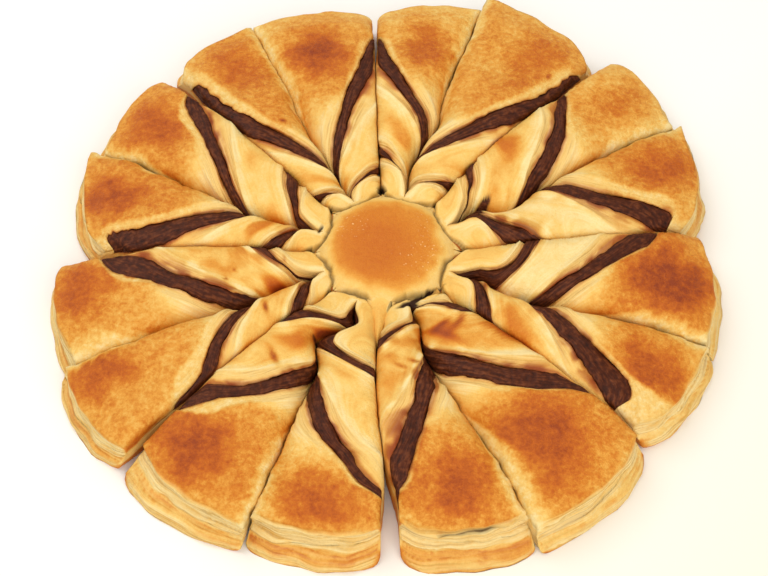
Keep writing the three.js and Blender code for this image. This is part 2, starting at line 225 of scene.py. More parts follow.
# Fineness of the meshes
RADIUS_STEPS = [(HUB_RADIUS, 36, 0.5), (36, 100, 1.05), (100, 140, 1.7)]
RIM_STATIONS = (140, RIM_RADIUS, 8)
CUT_COLUMNS = 7
FACE_COLUMNS = 27
FACE_CROWDING = 0.11
CAP_ROWS = 18
DISC_RINGS = 6
HUB_INNER = 22
HUB_STEP = 0.5
HUB_RINGS = 7
TONGUE_GRID = (40, 17)
FILLING_STATIONS = 150
STRIPE_COLUMNS = 10
WELD_DISTANCE = 0.02 * MM
SLIVER = 0.005 * MM


def smooth_step(x, low, high):
    """0 to 1, eased at both ends, as x goes from low to high; low may be the larger."""
    t = np.clip((x - low) / (high - low), 0, 1)
    return t * t * (3 - 2 * t)


def mix(a, b, t):
    """From a to b as t goes from 0 to 1."""
    return a + (b - a) * t


def bell(x, width):
    """1 at 0, falling off on both sides."""
    return np.exp(-((x / width) ** 2))


def polar_points(r, around, z):
    """Points at radius r, in a direction in radians, and at height z."""
    return np.stack([r * np.cos(around), r * np.sin(around), z], axis=-1)


def smooth_curve(knots):
    """A smooth curve through knots (x, y), x rising, that never overshoots them."""
    xs, ys = np.array(knots, float).T
    widths = np.diff(xs)
    slopes = np.diff(ys) / widths
    before = np.concatenate([slopes[:1], slopes])
    after = np.concatenate([slopes, slopes[-1:]])
    same = before * after > 0
    tangents = np.where(same, 2 * before * after / np.where(same, before + after, 1), 0)

    def value(x):
        inside = np.clip(x, xs[0], xs[-1])
        k = np.clip(np.searchsorted(xs, inside, side="right") - 1, 0, len(widths) - 1)
        t = (inside - xs[k]) / widths[k]
        rise = slopes[k] * widths[k]
        start = tangents[k] * widths[k]
        end = tangents[k + 1] * widths[k]
        return ys[k] + t * (start + t * (3 * rise - 2 * start - end + t * (start + end - 2 * rise)))

    return value


NOISE_CELLS = 256
NOISE_GAIN = 1.6


def noise(points, seed):
    """Smooth noise, about -1 to 1, at points of shape (..., 3)."""
    dice = np.random.default_rng(seed)
    order = dice.permutation(NOISE_CELLS)
    slopes = dice.normal(size=(NOISE_CELLS, 3))
    slopes /= np.linalg.norm(slopes, axis=1, keepdims=True)
    cell = np.floor(points).astype(int)
    offset = points - cell
    fade = offset**3 * (offset * (offset * 6 - 15) + 10)
    total = np.zeros(points.shape[:-1])
    for corner in np.ndindex(2, 2, 2):
        at = (cell + corner) % NOISE_CELLS
        pick = order[at[..., 0]]
        pick = order[(pick + at[..., 1]) % NOISE_CELLS]
        pick = order[(pick + at[..., 2]) % NOISE_CELLS]
        weight = np.prod(np.where(corner, fade, 1 - fade), axis=-1)
        total += weight * (slopes[pick] * (offset - corner)).sum(-1)
    return NOISE_GAIN * total


def field(points, name, step=0):
    """A named noise field; steps give further fields of the same size."""
    size, seed = FIELDS[name]
    return noise(points / size, seed + step)


def shift_field(points, name):
    """Shifts along three axes, from three noise fields."""
    return np.stack([field(points, name, step) for step in range(3)], axis=-1)


def row_noise(x, row, seed):
    """Noise along x, with a line of its own for each row."""
    flat = 0 * x
    return noise(np.stack([x, flat + row, flat], axis=-1), seed)


def uneven_line(x, index, line):
    """Coarse and fine unevenness along x, different for each index."""
    coarse, fine, fine_share, spacing, seeds = line
    row = index * spacing
    return row_noise(x / coarse, row, seeds[0]) + fine_share * row_noise(x / fine, row, seeds[1])


top_height = smooth_curve(TOP_HEIGHTS)
corner_angle = smooth_curve(CORNER_ANGLES)
top_squareness = smooth_curve(TOP_SQUARENESS)
gap_squareness = smooth_curve(GAP_SQUARENESS)
ledge_profile = smooth_curve(LEDGE_PROFILE)
rim_tone = smooth_curve(RIM_TONES)
hub_dome = smooth_curve(HUB_DOME)
tongue_height = smooth_curve(TONGUE_HEIGHTS)
tongue_half = smooth_curve(TONGUE_HALVES)
ARM_COUNT = len(CUTS_AT_RIM)


def cut_angle(cut, r):
    """Direction of a cut at radius r, in radians."""
    lap = 360 * (cut // ARM_COUNT)
    at = cut % ARM_COUNT
    r = np.asarray(r, float)
    middle = np.radians(mix(CUTS_AT_HUB[at], CUTS_AT_RIM[at], smooth_step(r, *CUT_BENDS)) + lap)
    wave = CUT_WAVE[at % 2] * uneven_line(r, at, CUT_LINE) * smooth_step(r, *CUT_WAVE_START)
    for bent_cut, radius, shift, reach in SEAM_BENDS:
        if bent_cut == at:
            wave = wave + shift * bell(r - radius, reach) * smooth_step(r, HUB_RADIUS, 42)
    return middle + wave / r


def cut_clearance(cut, r):
    """Angle by which an arm stays clear of a cut at radius r, in radians."""
    at = cut % ARM_COUNT
    clear = CUT_GAP[at % 2] * smooth_step(r, HUB_RADIUS, CUT_GAP_START)
    if at in FUSED_SEAMS:
        clear = mix(clear, -FUSED_OVERLAP, smooth_step(r, *FUSED_START))
    if at % 2 == 0:
        clear = clear + OPENINGS[at // 2] / 2 * smooth_step(r, OPENING_START, RIM_RADIUS)
    return clear / r


def section_outline(r, angle):
    """Outline of an arm's section as shares of its half width and half height."""
    x = np.cos(angle)
    y = np.sin(angle)
    power = np.where(y < 0, LOW_SQUARENESS, np.where(x < 0, gap_squareness(r), top_squareness(r)))
    rounded = (np.abs(x) ** power + np.abs(y) ** power) ** (1 / power)
    square = np.maximum(np.abs(x), np.abs(y))
    size = mix(square, rounded, smooth_step(r, HUB_RADIUS, HUB_BLEND))
    return x / size, y / size


class Arm:
    """One arm. Angles round its section start at the seam and reach the open cut at half a turn.

    They pass the upper face on the way. Shares across the section go from -1 at the open cut to 1 at the
    seam, and shares up it from -1 to 1.
    """

    def __init__(self, index):
        self.index = index
        self.side = 1 if index % 2 == 0 else -1
        self.open_cut = index if index % 2 == 0 else (index + 1) % ARM_COUNT
        self.seam_cut = index + 1 if index % 2 == 0 else index
        self.turn = smooth_curve([
            (math.log(HUB_RADIUS), 360),
            (math.log(LAST_TURN[index]), LAST_TWIST),
            (math.log(THREE_QUARTER_TURN[index]), 270),
            (math.log(HALF_TURN[index]), 180),
            (math.log(QUARTER_TURN[index]), 90),
            (math.log(MIDDLE_RADIUS), MIDDLE_TWIST[index]),
            (math.log(OUTER_RADIUS), OUTER_TWIST[index]),
            (math.log(RIM_RADIUS), RIM_TWIST[index]),
        ])
        self.filling = smooth_curve([
            (HUB_RADIUS, FILLING_AT_HUB * FILLING_HALF_HUB[index]),
            (THREE_QUARTER_TURN[index], FILLING_HALF_HUB[index]),
            (HALF_TURN[index], FILLING_HALF_INSIDE[index]),
            (QUARTER_TURN[index], FILLING_HALF_INSIDE[index]),
            (FILLING_OUTSIDE, FILLING_HALF_OUTSIDE[index]),
            (RIM_RADIUS, FILLING_HALF_OUTSIDE[index]),
        ])

    def twist(self, r):
        return np.radians(self.turn(np.log(r)))

    def sides(self, r):
        low = cut_angle(self.index, r) + cut_clearance(self.index, r)
        high = cut_angle(self.index + 1, r) - cut_clearance(self.index + 1, r)
        return low, high

    def height(self, r):
        return top_height(r) * mix(1, FAN_PUFF[self.index], smooth_step(r, *PUFF_BLEND))

    def half_sizes(self, r):
        low, high = self.sides(r)
        return (high - low) * r / 2, self.height(r) / 2

    def layer_measure(self, r):
        """Millimetres from the middle layer for each unit of sine round the section."""
        half_width, half_height = self.half_sizes(r)
        turn = self.twist(r)
        return np.hypot(half_width * np.sin(turn), half_height * np.cos(turn))

    def filling_half(self, r):
        """Half thickness of the spread, down to 0 at its end."""
        past = np.clip((r - FILLING_REACH[self.index]) / FILLING_END[self.index] + 1, 0, 1)
        wave = 1 + FILLING_WAVE * uneven_line(r, self.index, FILLING_LINE)
        return self.filling(r) * wave * np.sqrt(1 - past * past)

    def rim(self, across, up):
        """Radius of the rim."""
        straight = mix(RIM_AT_GAP[self.index], RIM_AT_SEAM[self.index], (1 + across) / 2)
        corner = GAP_CORNER * np.maximum(0, -across) ** 4
        flat = 0 * across * up
        place = np.stack([2.6 * across + 7 * self.index + flat, 0.8 * up + flat, flat], axis=-1)
        wave = RIM_WAVE * (noise(place, 53) - RIM_WAVE_INSET)
        return straight + RIM_BULGE * (1 - across * across) - corner - self.stand_back(across, up) + wave

    def stand_back(self, across, up):
        ledge = mix(LEDGE_AT_GAP[self.index], LEDGE_AT_SEAM[self.index], (1 + across) / 2)
        return ledge * ledge_profile(self.rim_height(across, up))

    def rim_height(self, across, up):
        """Height on the rim from -1 to 1, tilted with the arm's turn."""
        tilt = LEDGE_TILT * math.tan(math.radians(RIM_TWIST[self.index]))
        return np.clip(up + tilt * across + LEDGE_DROP[self.index], -1, 1)

    def spot(self, r, across, up):
        """Point of the section at radius r, by shares of its half width and half height."""
        along = r + smooth_step(r, FAN_START, RIM_RADIUS) * (self.rim(across, up) - RIM_RADIUS)
        around = mix(*self.sides(r), (1 + self.side * across) / 2)
        height = self.height(r) + FLAT_REST
        z = np.maximum(0, height * (1 + up) / 2 - FLAT_REST)
        return polar_points(along, around, z)

    def shares(self, r, angle, sink=0.0):
        """Place round the section as shares of its half sizes, sunk so many millimetres below the outline."""
        across, up = section_outline(r, angle - self.twist(r))
        half_width, half_height = self.half_sizes(r)
        kept = 1 - sink / np.hypot(half_width * across, half_height * up)
        return across * kept, up * kept


ARMS = [Arm(index) for index in range(ARM_COUNT)]
RADII = np.concatenate([*(np.arange(*steps) for steps in RADIUS_STEPS), np.linspace(*RIM_STATIONS)])


def surface_normals(points, flip):
    """Unit normals of a grid of points."""
    rows = np.gradient(points, axis=0)
    columns = np.gradient(points, axis=1)
    normals = np.cross(rows, columns) * flip
    return normals / np.maximum(np.linalg.norm(normals, axis=-1, keepdims=True), 1e-9)


class MeshParts:
    """Vertices, faces and vertex values that are gathered for one mesh."""

    def __init__(self):
        self.points = []
        self.faces = []
        self.values = {}
        self.count = 0

    def add_grid(self, points, values, outwards, closed=False):
        """Adds a grid of points and its quads; closed joins the last column to the first."""
        rows, columns = points.shape[:2]
        numbers = self.count + np.arange(rows * columns).reshape(rows, columns)
        following = np.roll(numbers, -1, axis=1)
        if not closed:
            numbers, following = numbers[:, :-1], following[:, :-1]
        quads = [numbers[:-1], numbers[1:], following[1:], following[:-1]]
        if not outwards:
            quads.reverse()
        self.points.append(points.reshape(-1, 3))
        self.faces.append(np.stack(quads, axis=-1).reshape(-1, 4))
        for name, value in values.items():
            self.values.setdefault(name, []).append(np.broadcast_to(value, (rows, columns)).ravel())
        self.count += rows * columns

    def build(self, name, material):
        """Makes the object, with its grids joined."""
        mesh = bpy.data.meshes.new(name)
        points = np.concatenate(self.points) * MM
        faces = np.concatenate(self.faces)
        mesh.from_pydata(points.tolist(), [], faces.tolist())
        for key, parts in self.values.items():
            layer = mesh.attributes.new(key, "FLOAT", "POINT")
            layer.data.foreach_set("value", np.concatenate(parts).astype(np.float32))
        mesh.polygons.foreach_set("use_smooth", np.ones(len(mesh.polygons), bool))
        mesh.materials.append(material)
        mesh.update()
        weld(mesh)
        piece = bpy.data.objects.new(name, mesh)
        bpy.context.scene.collection.objects.link(piece)
        return piece


def weld(mesh):
    """Joins the points that neighbouring grids share, and closes the slits that are left."""
    shape = bmesh.new()
    shape.from_mesh(mesh)
    bmesh.ops.remove_doubles(shape, verts=shape.verts, dist=WELD_DISTANCE)
    bmesh.ops.dissolve_degenerate(shape, edges=shape.edges, dist=SLIVER)
    bmesh.ops.holes_fill(shape, edges=[edge for edge in shape.edges if edge.is_boundary], sides=0)
    bmesh.ops.recalc_face_normals(shape, faces=shape.faces)
    shape.to_mesh(mesh)
    shape.free()


VALUES = ("bake", "edge", "stain", "smear", "crease", "mottled", "dusted", "layer", "along")


def pastry_values(**given):
    """The values that colour pastry, 0 where none is given."""
    return {name: given.get(name, 0.0) for name in VALUES}


def face_shares():
    """Columns across a face, crowded towards its two edges."""
    even = np.linspace(0, 1, FACE_COLUMNS + 1)
    return even - FACE_CROWDING * np.sin(2 * math.pi * even)


def sheet_grid(arm, face):
    """Angles round one sheet's half of the section: a lip, a cut edge, the face, a cut edge and a lip."""
    r = RADII[:, None]
    corner = np.radians(corner_angle(r))
    half = arm.filling_half(r)
    gap = mix(LAYER_GAP_SHUT, LAYER_GAP, smooth_step(half, 0, 0.5))
    edge = np.arcsin(np.clip((half + gap) / arm.layer_measure(r), -0.02, 0.5))
    cut = np.arange(CUT_COLUMNS) / CUT_COLUMNS
    first = mix(edge, corner, cut)
    middle = mix(corner, math.pi - corner, face_shares())
    last = math.pi - first[:, ::-1]
    angles = np.concatenate([first[:, :1], first, middle, last, last[:, -1:]], axis=1)
    return r, angles + (0 if face > 0 else math.pi), edge, corner, half


def sheet_place(arm, face):
    """Where the points of one sheet of an arm lie before relief, and what they are near to."""
    r, angles, edge, corner, half = sheet_grid(arm, face)
    measure = arm.layer_measure(r)
    off = np.arcsin(np.clip(np.abs(np.sin(angles)), 0, 1))
    layer = measure * (np.sin(off) - np.sin(edge))
    filled = smooth_step(half, 0, 1.2)
    sink = mix(SHUT_ROLL, LIP_ROLL, filled) * np.exp(-layer / LIP_REACH)
    sink[:, [0, -1]] = mix(2 * SHUT_ROLL, LIP_SINK, filled)
    across, up = arm.shares(r, angles, sink * smooth_step(r, HUB_RADIUS, HUB_BLEND))
    base = arm.spot(r, across, up)
    normals = surface_normals(base, -arm.side)
    turn = np.degrees(arm.twist(r))
    half_width, _ = arm.half_sizes(r)
    flow = np.stack([r * 0.06 + arm.index * 9 + 0 * layer, layer * 0.55, 0 * layer + face * 5], axis=-1)
    return SimpleNamespace(
        r=r, across=across, up=up, base=base, normals=normals,
        off=off, corner=corner, layer=layer, filled=filled,
        from_middle=measure * np.sin(off),
        to_corner=measure * (np.sin(corner) - np.sin(edge)),
        from_side=half_width * (1 - np.abs(across)),
        at_cut=across < 0,
        cut_half=np.cos(angles) < 0,
        inner=np.clip((off - corner) / (math.pi / 2 - corner), 0, 1),
        turn=turn,
        fan=smooth_step(turn, 100, 60),
        seen=smooth_step(normals[..., 2], 0.1, 0.8),
        rough=field(base, "swell"),
        fine=field(base, "fine"),
        streaks=noise(flow, 13),
    )


UNDERSIDE_TONE = 0.6


def make_sheet(name, face, material):
    """One sheet through the hub and all arms; face is 1 for the upper sheet and -1 for the lower."""
    parts = MeshParts()
    lips = []
    faces = []
    for arm in ARMS:
        place = sheet_place(arm, face)
        form, values = sheet_look(arm, face, place)
        points = place.base + place.normals * form.lift[..., None]
        skirt = form.skirt * smooth_step(place.up, -0.6, -0.2)
        points[..., 2] = np.maximum(mix(points[..., 2], hub_dome(place.r), skirt) - form.drop, 0)
        outwards = arm.side < 0
        parts.add_grid(points, values, outwards, closed=True)
        add_cap(parts, arm, place, points[-1], values["bake"][-1])
        by_angle = slice(None, None, -1 if outwards == (face < 0) else 1)
        lips.append(points[0, [0, -1]][by_angle])
        faces.append(points[0, CUT_COLUMNS + 1:CUT_COLUMNS + FACE_COLUMNS + 2][by_angle])
    add_disc(parts, np.concatenate(lips), pastry_values(), face < 0)
    if face > 0:
        add_hub(parts)
        add_tongue(parts)
    else:
        add_disc(parts, np.concatenate(faces), pastry_values(bake=UNDERSIDE_TONE), False)
    return parts.build(name, material)


SEEN_TONE = 0.6
EDGE_TONE = 0.16
SKIRT_TONE = 0.14
LAYERS_SEEN = 0.7
LAYERS_ON_FAN = 0.25
PETAL_MOTTLED = 0.3


def sheet_look(arm, face, place):
    """Lift, drop and hub skirt of one sheet of an arm, and the values that colour it."""
    fan = place.fan
    cut_edge = cut_edge_share(arm, face, place)
    layered = cut_edge * np.where(place.cut_half, mix(LAYERS_SEEN, LAYERS_ON_FAN, fan), LAYERS_SEEN)
    groove, skirt = hub_groove(arm, place.r, place.across)
    plan = ragged_plan(place.base)
    on_top = smooth_step(place.up, 0, 0.3)
    spots = open_share(plan) * on_top
    parted = parted_share(arm, place) * on_top
    smear = sum(mark_share(plan, smear) for smear in SMEARS) * smooth_step(place.up, -0.3, 0.1)
    openings = np.maximum(OPEN_SPOT_DEPTH * spots, PARTED_DEPTH * parted)
    tips = TIP_DEPTH * groove * smooth_step(place.up, 0, 0.5)
    form = SimpleNamespace(
        lift=sheet_lift(place, cut_edge, layered),
        drop=tips + valley_depth(arm, place) + openings,
        skirt=skirt,
    )
    level = top_level(arm, place, 1 - cut_edge) if face > 0 else petal_level(arm, place)
    level = mix(level * mix(1, SEEN_TONE, place.seen), EDGE_TONE + 0.08 * place.rough, cut_edge)
    values = pastry_values(
        bake=mix(level, SKIRT_TONE, skirt),
        edge=layered * (1 - skirt),
        stain=stain_share(arm, face, place),
        smear=smooth_step(smear, 0.3, 0.55),
        crease=crease_share(arm, place, [CREASE_TIP * groove, spots, parted]),
        mottled=fan if face > 0 else PETAL_MOTTLED,
        layer=place.from_middle,
        along=place.r,
    )
    return form, values


def cut_edge_share(arm, face, place):
    """1 on the pale cut edges, and on the pale bands of the fans beside the open cuts; 0 on the crust."""
    share = 1 - smooth_step(place.off - place.corner, -0.03, 0.01)
    if face < 0:
        return share
    past_end = smooth_step(place.r - FILLING_REACH[arm.index], -14, 5)
    band = mix(arm.filling(place.r) + PALE_BAND[arm.index], PALE_AT_RIM[arm.index], past_end)
    band = band * (1 + 0.1 * field(place.base, "pale_band"))
    crusted = smooth_step(place.from_middle - band, -1, 0.9)
    return np.where(place.cut_half, mix(share, 1 - crusted, place.fan), share)


def sheet_lift(place, cut_edge, layered):
    """Relief of a sheet: swells, blisters, layers at the cut edges, ridges and fibres along the petals."""
    fan = place.fan
    coarse, fine, blisters = SWELL
    swell = coarse * place.rough + fine * place.fine + blisters * field(place.base, "blisters") * fan
    swell = swell * smooth_step(place.inner, 0, 0.4)
    layers = LAYER_RELIEF * np.sin(place.from_middle * 3.2 + 2.2 * place.streaks) * layered
    crust = CRUST_EDGE * (1 - cut_edge) * (1 - place.inner) ** 3 * fan
    ridge = bell(place.layer - place.to_corner, RIDGE_WIDTH)
    hollow = np.sin(math.pi * np.clip(place.layer / place.to_corner, 0, 1))
    turned = (RIDGE_HEIGHT * ridge - HOLLOW_DEPTH * hollow) * (1 - fan)
    fibres = FIBRES * place.streaks * (1 - fan)
    lift = swell + layers + crust + turned + fibres
    return lift * place.seen * smooth_step(place.r, HUB_RADIUS, RELIEF_START)


def valley_depth(arm, place):
    """Depth of the valleys along seams and open cuts, and of the bed under the hub's flap."""
    rounded = SEAM_DEPTH * bell(place.from_side, SEAM_WIDTH)
    pressed = VALLEY_DEPTH * np.exp(-place.from_side / VALLEY_WIDTH)
    on_petals = np.where(place.at_cut, GAP_DEPTH / SEAM_DEPTH * rounded, pressed)
    valley = mix(on_petals, np.where(place.at_cut, 0, rounded), place.fan)
    valley = valley * smooth_step(place.r, 33, 42) * smooth_step(place.r, RIM_RADIUS, 141)
    if arm.open_cut == TONGUE_CUT:
        depth, half_width = TONGUE_BED
        bed = depth * bell(place.from_side, half_width)
        bed = bed * smooth_step(place.r, HUB_RADIUS, 32) * smooth_step(place.r, 50, 45)
        valley = valley + np.where(place.at_cut, bed, 0)
    return valley * smooth_step(place.up, 0, 0.4)


def crease_share(arm, place, others):
    """Share of painted shade: beside the cuts, low between the petals, and the other shares that are given.
    """
    beside = bell(place.from_side, CREASE_WIDTH) * smooth_step(place.r, 29.5, 33)
    beside = beside * mix(0.7, 1, place.fan)
    beside = beside * smooth_step(field(place.base, "opened"), -0.5, 0.5)
    at_cut, at_seam = CREASE_BESIDE
    if arm.seam_cut in FUSED_SEAMS:
        at_seam = at_seam * (1 - place.fan)
    beside = beside * np.where(place.at_cut, at_cut, at_seam)
    deep = smooth_step(place.up, 0.1, -0.5) * (1 - place.fan) * np.where(place.at_cut, *CREASE_DEEP)
    return np.clip(np.maximum.reduce([beside, deep, *others]), 0, 1)


# Stains of the lower and upper sheet: share of the reach, and strength
STAIN_SHARES = {-1: (1, 0.95), 1: (0.45, 0.8)}


def stain_share(arm, face, place):
    """Share of pastry soaked brown beside the spread, and of the marks on the petals."""
    layer = np.maximum(place.layer, 0)
    reach_share, strength = STAIN_SHARES[face]
    reach = 1.5 * STAIN_REACH[arm.index] * reach_share
    patchy = smooth_step(place.fine + 0.7 * place.streaks, -0.6, 0.3)
    unbroken = 0.75 * np.exp(-layer / 0.9)
    stain = np.maximum(np.exp(-((layer / reach) ** 1.5)) * patchy, unbroken)
    marks = sum(mark_share(place.base, mark) for mark in MARKS) * place.seen
    return np.clip(np.maximum(stain * place.filled * strength, marks), 0, 1)


RAGGED_SHIFT = 0.7


def ragged_plan(points):
    """Places in plan, shifted about so that what is drawn there has ragged edges."""
    plan = points * np.array([1, 1, 0])
    return plan + RAGGED_SHIFT * shift_field(plan, "ragged")


def open_share(plan):
    """1 in the openings beside the hub, which are painted with dark shade."""
    return smooth_step(sum(mark_share(plan, spot) for spot in OPEN_SPOTS), 0.25, 0.75)


def parted_share(arm, place):
    """1 in the openings where two small petals part beside the hub, painted with dark shade."""
    share = np.zeros(place.from_side.shape)
    for cut, half_width, length in PARTED_CUTS:
        if cut == arm.open_cut:
            past = place.r - PETAL_TIP - FLARE_AT_GAP[cut // 2]
            taper = half_width * (1 - past / length)
            share = smooth_step(taper - place.from_side, -0.2, 0.4) * smooth_step(past, -1, 0)
    return np.where(place.at_cut, share, 0)


def hub_groove(arm, r, across):
    """Depth of the groove round a petal's tip, and the share of hub skirt inside it."""
    uneven = row_noise(1.3 * across + 0 * r, 3.3 * arm.index, 33)
    to_gap = np.clip((1 - across) / 2, 0, 1)
    tip = PETAL_TIP + FLARE_AT_GAP[arm.open_cut // 2] * to_gap**FLARE_POWER + TIP_UNEVEN * uneven
    return bell(r - tip, TIP_GROOVE), smooth_step(r - tip, 0.4, -0.6)


def mark_share(points, mark):
    """A mark's strength in its middle, falling off to 0 away from it."""
    angle, radius, half_length, half_width, heading, strength = mark
    middle = radius * np.array([math.cos(math.radians(angle)), math.sin(math.radians(angle))])
    offset = points[..., :2] - middle
    turned = math.radians(angle + heading)
    along = offset @ np.array([math.cos(turned), math.sin(turned)])
    beside = offset @ np.array([-math.sin(turned), math.cos(turned)])
    return strength * np.exp(-((along / half_length) ** 2) - (beside / half_width) ** 2)


PATCH_SHARPNESS = 0.35
PATCH_GAIN = 1.5
PATCH_CONTRAST = 0.1  # how much paler a fan with a dark patch is elsewhere


def brown_patch(arm, base):
    """What the darkest patch of a fan adds to its tone."""
    *spot, dark = BROWN_PATCHES[arm.index]
    moved = base + 5 * shift_field(base, "wander") + 2.5 * shift_field(base, "crags")
    patch = mark_share(moved + np.array(PATCH_SHIFT), (*spot, 0, 1))
    patch = mix(patch, smooth_step(patch, 0.1, 0.8), PATCH_SHARPNESS)
    return dark * (PATCH_GAIN * patch - PATCH_CONTRAST)


FAN_PALE = 0.18
RIM_PALE = 0.12
RIM_PALE_WIDTH = 7


def top_level(arm, place, crust):
    """Browning of the upper sheet: fans outside, small petals beside the hub."""
    base, rough, fine = place.base, place.rough, place.fine
    radius = np.hypot(base[..., 0], base[..., 1])
    rise = smooth_step(radius + 3 * rough - QUARTER_TURN[arm.index], -8, 20)
    at_seam = smooth_step(place.from_side + 1.5 * fine + rough, 0.8, PALE_AT_SEAM[arm.index])
    tone = 0.19 + 0.34 * rise + FAN_TONE[arm.index] + brown_patch(arm, base) + 0.11 * rough + 0.08 * fine
    level = FAN_PALE + tone * np.where(place.cut_half, crust, at_seam)
    to_rim = radius + 2 * fine - arm.rim(place.across, 1.0)
    level = level - RIM_PALE * smooth_step(to_rim, -RIM_PALE_WIDTH, 0)
    petal = 0.05 + 0.3 * smooth_step(place.inner, 0, 0.7) + 0.14 * rough + 0.08 * fine
    return mix(petal, level, place.fan)


PETAL_PALE = 0.04
PETAL_UNDER = 0.55


def petal_level(arm, place):
    """Browning of the lower sheet: large petals where it is turned up."""
    glow = smooth_step(place.inner, 0, 0.4)
    patches = smooth_step(place.rough + 0.3 * place.streaks, -0.1, 0.5) * smooth_step(place.inner, 0.3, 0.9)
    brown = 0.26 * glow + 0.42 * patches + 0.1 * place.fine + 0.1 * place.streaks
    petal = PETAL_PALE + PETAL_TONE[arm.index] * brown
    return mix(petal, PETAL_UNDER, smooth_step(place.turn, 70, 20))


RIM_ROUGH = 0.7
RIM_LAYERS = 0.9
RIM_LINES = 0.5
RIM_LINE_WIDTH = 0.14
CRACK_DEPTH = 2.4
CRACK_WIDTH = 0.1
CRACK_TAPER = 2


def rim_crack(points, up, rough):
    """1 in the cracks along the rim, which are cut in and painted with dark shade."""
    around = np.degrees(np.arctan2(points[..., 1], points[..., 0])) % 360
    crack = np.zeros(up.shape)
    for start, stop, height in RIM_CRACKS:
        within = smooth_step(around, start, start + CRACK_TAPER)
        within = within * smooth_step(around, stop, stop - CRACK_TAPER)
        crack = crack + within * bell(up - height - 0.05 * rough, CRACK_WIDTH)
    return crack


def add_cap(parts, arm, place, ring, ring_level):
    """Closes a sheet's arm at the rim with the layered side that shows there."""
    inwards = np.linspace(0, 1, CAP_ROWS)[:, None]
    across, up = (
        mix(np.linspace(edge[0], edge[-1], len(edge)), edge, 1 - inwards)
        for edge in (place.across[-1], place.up[-1])
    )
    points = arm.spot(float(RIM_RADIUS), across, up)
    rough = field(points, "rim")
    layers = field(points, "rim_layers")
    lines = bell(layers, RIM_LINE_WIDTH)
    crack = rim_crack(points, up, rough)
    outward = points * np.array([1, 1, 0]) / np.hypot(points[..., 0], points[..., 1])[..., None]
    lift = RIM_ROUGH * rough + RIM_LAYERS * layers - RIM_LINES * lines - CRACK_DEPTH * crack
    points = points + outward * (lift * smooth_step(inwards, 0, 0.25))[..., None]
    points[0] = ring
    points[:, 0] = ring[0]
    points[:, -1] = ring[-1]
    inside = smooth_step(inwards, 0.02, 0.2)
    height = arm.rim_height(across, up) + 0.03 * rough
    side = LEDGE_TONE[arm.index] * rim_tone(height) + 0.06 * rough + 0.1 * layers + 0.2 * lines
    side = mix(side, BASE_TONE + 0.1 * rough, smooth_step(height, -0.8, -0.92))
    ledge = smooth_step(height, -0.42, -0.36) * smooth_step(height, 0.02, -0.04)
    values = pastry_values(
        bake=mix(ring_level, side, inside),
        edge=inside * (0.75 - 0.55 * ledge),
        # The cracks are painted with dark shade
        crease=crack,
        mottled=0.6,
        layer=1.3 * points[..., 2],
        along=40 * np.arctan2(points[..., 1], points[..., 0]),
    )
    parts.add_grid(points, values, arm.side < 0)


def add_disc(parts, ring, values, outwards):
    """Closes a hole in the hub with a disc inside a ring of points."""
    share = np.linspace(0, 1, DISC_RINGS)[:, None, None]
    points = mix(ring[None], ring.mean(axis=0), share)
    parts.add_grid(points, values, outwards, closed=True)


def hub_columns():
    """Each arm's upper columns where they leave the hub: the arm, shares across it, and directions."""
    corner = math.radians(corner_angle(HUB_RADIUS))
    angles = mix(corner, math.pi - corner, face_shares())
    across = np.sort(np.cos(angles) / np.sin(angles))[:-1]
    for arm in ARMS:
        low, high = arm.sides(float(HUB_RADIUS))
        yield arm, arm.side * across, mix(low, high, (1 + across) / 2)


def hub_glints(points):
    """Share of painted highlights, fine pale glints, over the hub."""
    share = 0
    for x, y, size in HUB_GLINTS:
        share = share + np.exp(-((points[..., 0] - x) ** 2 + (points[..., 1] - y) ** 2) / size**2)
    return np.clip(share, 0, 1)


HUB_UNEVEN = 0.4
HUB_MIDDLE = (-4, -1)
TIP_TONE = 0.16
# Strength of the painted shade in the groove round the petal tips
HUB_PAINTED_SHADE = 0.68
PLAIN_LAYER = 20


def add_hub(parts):
    """The dome over the hub, with the tips of the small petals that press into it."""
    outer = np.arange(HUB_RADIUS, HUB_INNER, -HUB_STEP)
    radii = np.concatenate([outer, np.linspace(HUB_INNER, 0, HUB_RINGS)])[:, None]
    columns = list(hub_columns())
    around = np.concatenate([directions for _, _, directions in columns])
    fields = [hub_groove(arm, radii, across) for arm, across, _ in columns]
    groove, skirt = (np.concatenate(shares, axis=1) for shares in zip(*fields))
    height = mix(top_height(HUB_RADIUS), hub_dome(radii), skirt) - TIP_DEPTH * groove
    points = polar_points(radii, around, height)
    rough = field(points, "hub")
    openings = open_share(ragged_plan(points))
    points[..., 2] += HUB_UNEVEN * rough * smooth_step(radii, 27, 22) - OPEN_SPOT_DEPTH * openings
    flares = noise(2.5 * np.stack([np.cos(around), np.sin(around), 0 * around], axis=-1), 32)
    reach = radii + 2 * rough + field(points, "hub_edge") - 1.6 * flares
    middle = np.hypot(points[..., 0] - HUB_MIDDLE[0], points[..., 1] - HUB_MIDDLE[1])
    level = 0.14 + 0.38 * smooth_step(reach, 27, 20) + 0.14 * smooth_step(middle, 24, 5) + 0.03 * rough
    values = pastry_values(
        bake=mix(TIP_TONE, level, skirt),
        crease=np.maximum(HUB_PAINTED_SHADE * groove, openings),
        mottled=0.25,
        dusted=hub_glints(points),
        layer=PLAIN_LAYER,
    )
    parts.add_grid(points, values, True, closed=True)


def add_tongue(parts):
    """A narrow flap that runs out from the hub between two small petals."""
    rows, columns = TONGUE_GRID
    r = mix(*TONGUE_REACH, np.linspace(0, 1, rows)[:, None])
    beside = np.linspace(-1, 1, columns)
    around = cut_angle(TONGUE_CUT, r) + beside * tongue_half(r) / r
    droop = 2.8 * np.abs(beside) ** 2.2
    height = tongue_height(r) - droop
    points = polar_points(r, around, height)
    level = mix(0.2, 0.3, smooth_step(r, 25, 32)) - 0.12 * beside**2
    values = pastry_values(bake=level, mottled=0.2, layer=PLAIN_LAYER, along=r)
    parts.add_grid(points, values, True)


